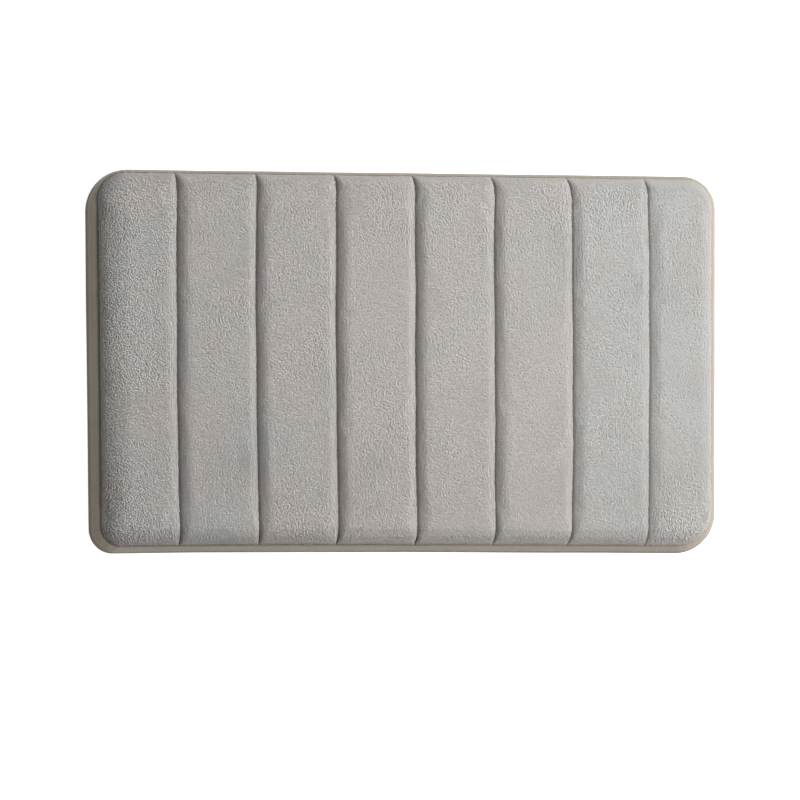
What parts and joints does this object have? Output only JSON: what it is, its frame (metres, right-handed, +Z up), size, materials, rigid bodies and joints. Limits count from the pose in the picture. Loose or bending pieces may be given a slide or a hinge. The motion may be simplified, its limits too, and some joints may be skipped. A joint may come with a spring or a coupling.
{
  "type": "bath mat",
  "caption": "Flat rectangular padded bath mat with rounded corners: plush face quilted into parallel channels, smooth side band and dotted non-slip base.",
  "frame": {"origin": "on the floor, at the middle of the underside of the mat's outline", "axes": "+X along the mat's length towards its narrower last channel, +Y across the mat, +Z up from the floor"},
  "size_m": [0.75, 0.445, 0.027],
  "materials": {
    "plush": "matte",
    "foam": "matte",
    "scrim": "matte",
    "band_cloth": "matte",
    "base_cloth": "matte",
    "dot_rubber": "satin",
    "thread": "matte",
    "label_satin": "satin"
  },
  "bodies": {
    "root": {"grip_dots": "dot_rubber", "base_cloth": "base_cloth", "quilting_scrim": "scrim", "foam_core": "foam", "plush_face": "plush", "side_band": "band_cloth", "top_seam_thread": "thread", "bottom_seam_thread": "thread", "care_label": "label_satin", "label_thread": "thread", "quilt_thread_1": "thread", "quilt_thread_2": "thread", "quilt_thread_3": "thread", "quilt_thread_4": "thread", "quilt_thread_5": "thread", "quilt_thread_6": "thread", "quilt_thread_7": "thread"}
  },
  "joints": []
}
